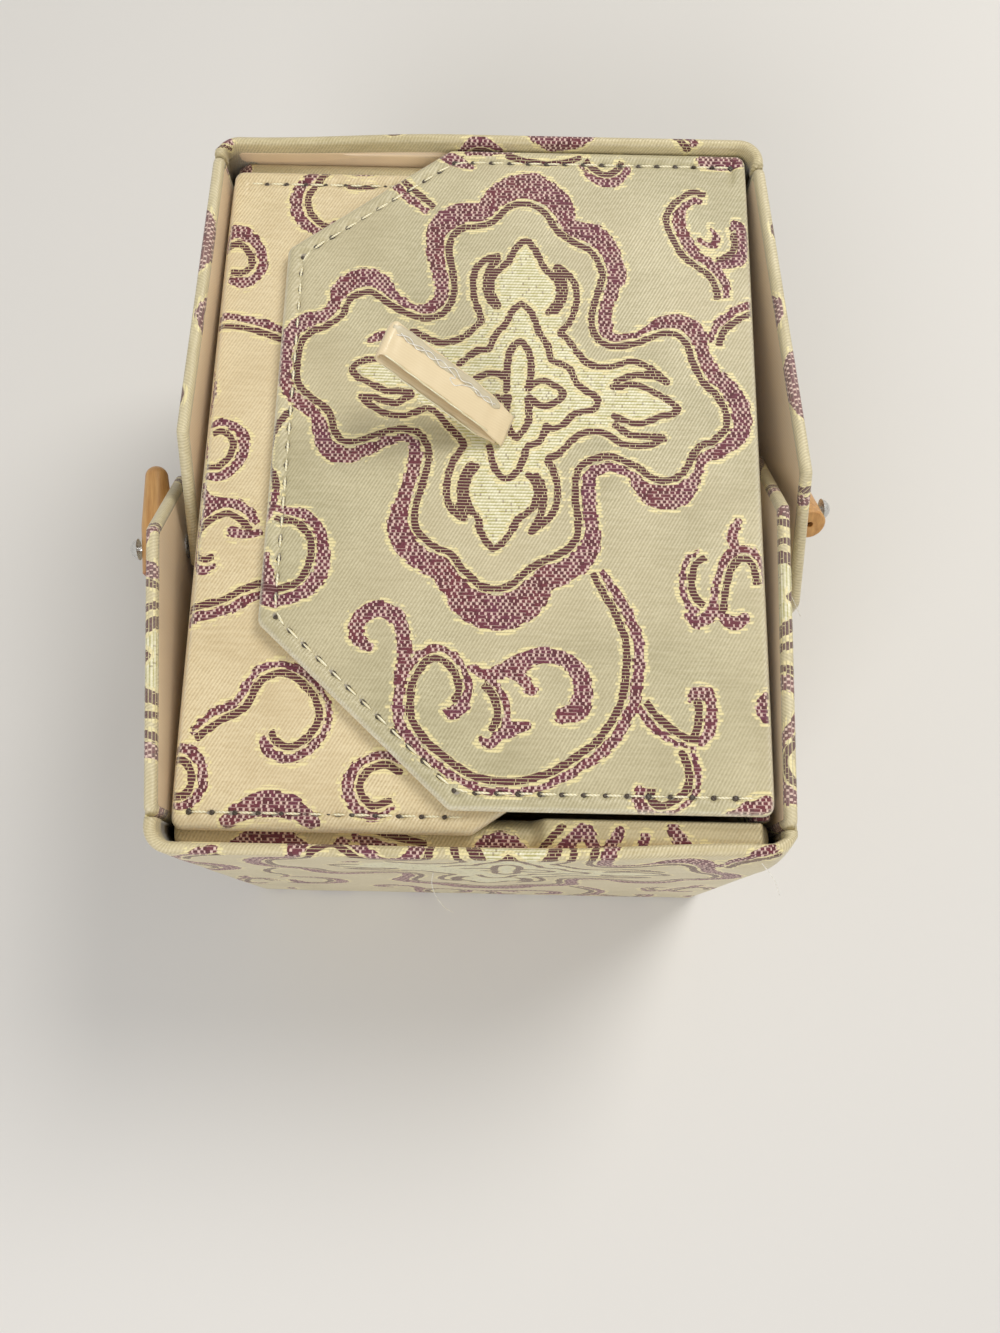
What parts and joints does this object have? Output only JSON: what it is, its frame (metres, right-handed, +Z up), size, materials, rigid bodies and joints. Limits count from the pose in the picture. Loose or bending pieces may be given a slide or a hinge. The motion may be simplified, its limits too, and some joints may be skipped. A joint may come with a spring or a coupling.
{
  "type": "brocade box",
  "caption": "Brocade-covered keepsake box with overlapping top flaps, a closing loop, flared side wings and pinned wooden pegs.",
  "frame": {"origin": "middle of the tray's underside, on the surface that the box stands on", "axes": "+Z up, +X to the right and -Y to the front of the pictured box; the long way of the box runs along Y"},
  "size_m": [0.1432, 0.1484, 0.1059],
  "materials": {
    "board": "raw grey board",
    "brocade": "satin ground with woven scrolls",
    "satin": "plain peach satin",
    "peg_wood": "oiled, turned",
    "pin_metal": "polished"
  },
  "bodies": {
    "case": {"base_cloth": "brocade", "base_board": "board", "base_pad": "satin", "front_wall_board": "board", "front_wall_brocade": "brocade", "front_wall_lining": "satin", "rear_wall_board": "board", "rear_wall_brocade": "brocade", "rear_wall_lining": "satin", "left_wall_board": "board", "left_wall_brocade": "brocade", "left_wall_lining": "satin", "right_wall_board": "board", "right_wall_brocade": "brocade", "right_wall_lining": "satin", "front_cover_board": "board", "front_cover_brocade": "brocade", "front_cover_lining": "satin", "rear_cover_board": "board", "rear_cover_brocade": "brocade", "rear_cover_lining": "satin"},
    "under_flap": {"under_flap_board": "board", "under_flap_brocade": "brocade", "under_flap_lining": "satin"},
    "over_flap": {"over_flap_board": "board", "over_flap_brocade": "brocade", "over_flap_lining": "satin", "loop_tail": "satin"},
    "closure_loop": {"closure_loop": "satin"},
    "front_left_wing": {"front_left_wing_board": "board", "front_left_wing_brocade": "brocade", "front_left_wing_lining": "satin", "left_pin": "pin_metal", "left_washer": "pin_metal"},
    "rear_left_wing": {"rear_left_wing_board": "board", "rear_left_wing_brocade": "brocade", "rear_left_wing_lining": "satin"},
    "front_right_wing": {"front_right_wing_board": "board", "front_right_wing_brocade": "brocade", "front_right_wing_lining": "satin"},
    "rear_right_wing": {"rear_right_wing_board": "board", "rear_right_wing_brocade": "brocade", "rear_right_wing_lining": "satin", "right_pin": "pin_metal", "right_washer": "pin_metal"},
    "left_peg": {"left_peg": "peg_wood"},
    "right_peg": {"right_peg": "peg_wood"}
  },
  "joints": [
    {"name": "over_flap_hinge", "type": "hinge", "parent": "case", "child": "over_flap", "pos_m": [0.053, 0, 0.0866], "axis": [0, 1, 0], "range_deg": [0, 115]},
    {"name": "under_flap_hinge", "type": "hinge", "parent": "case", "child": "under_flap", "pos_m": [-0.053, 0, 0.0838], "axis": [0, -1, 0], "range_deg": [0, 72]},
    {"name": "loop_seam", "type": "hinge", "parent": "over_flap", "child": "closure_loop", "pos_m": [0.003, 0.0077, 0.0881], "axis": [0.342, 0.9397, 0], "range_deg": [-37, 130]},
    {"name": "front_left_wing_hinge", "type": "hinge", "parent": "case", "child": "front_left_wing", "pos_m": [-0.0564, -0.068, 0], "axis": [0, 0, 1], "range_deg": [-2.6, 130]},
    {"name": "rear_left_wing_hinge", "type": "hinge", "parent": "case", "child": "rear_left_wing", "pos_m": [-0.0564, 0.068, 0], "axis": [0, 0, -1], "range_deg": [-1.45, 72]},
    {"name": "front_right_wing_hinge", "type": "hinge", "parent": "case", "child": "front_right_wing", "pos_m": [0.0564, -0.068, 0], "axis": [0, 0, -1], "range_deg": [-1.45, 72]},
    {"name": "rear_right_wing_hinge", "type": "hinge", "parent": "case", "child": "rear_right_wing", "pos_m": [0.0564, 0.068, 0], "axis": [0, 0, 1], "range_deg": [-2.6, 130]},
    {"name": "left_peg_pivot", "type": "hinge", "parent": "front_left_wing", "child": "left_peg", "pos_m": [-0.06206, -0.01028, 0.0674], "axis": [-0.9952, -0.0976, 0], "continuous": true},
    {"name": "right_peg_pivot", "type": "hinge", "parent": "rear_right_wing", "child": "right_peg", "pos_m": [0.06264, 0.00029, 0.0674], "axis": [0.9958, 0.0918, 0], "continuous": true}
  ],
  "couplings": [
    {"joint": "under_flap_hinge", "follows": "over_flap_hinge", "ratio": 0.62},
    {"joint": "rear_left_wing_hinge", "follows": "front_left_wing_hinge", "ratio": 0.55},
    {"joint": "front_right_wing_hinge", "follows": "rear_right_wing_hinge", "ratio": 0.55}
  ]
}
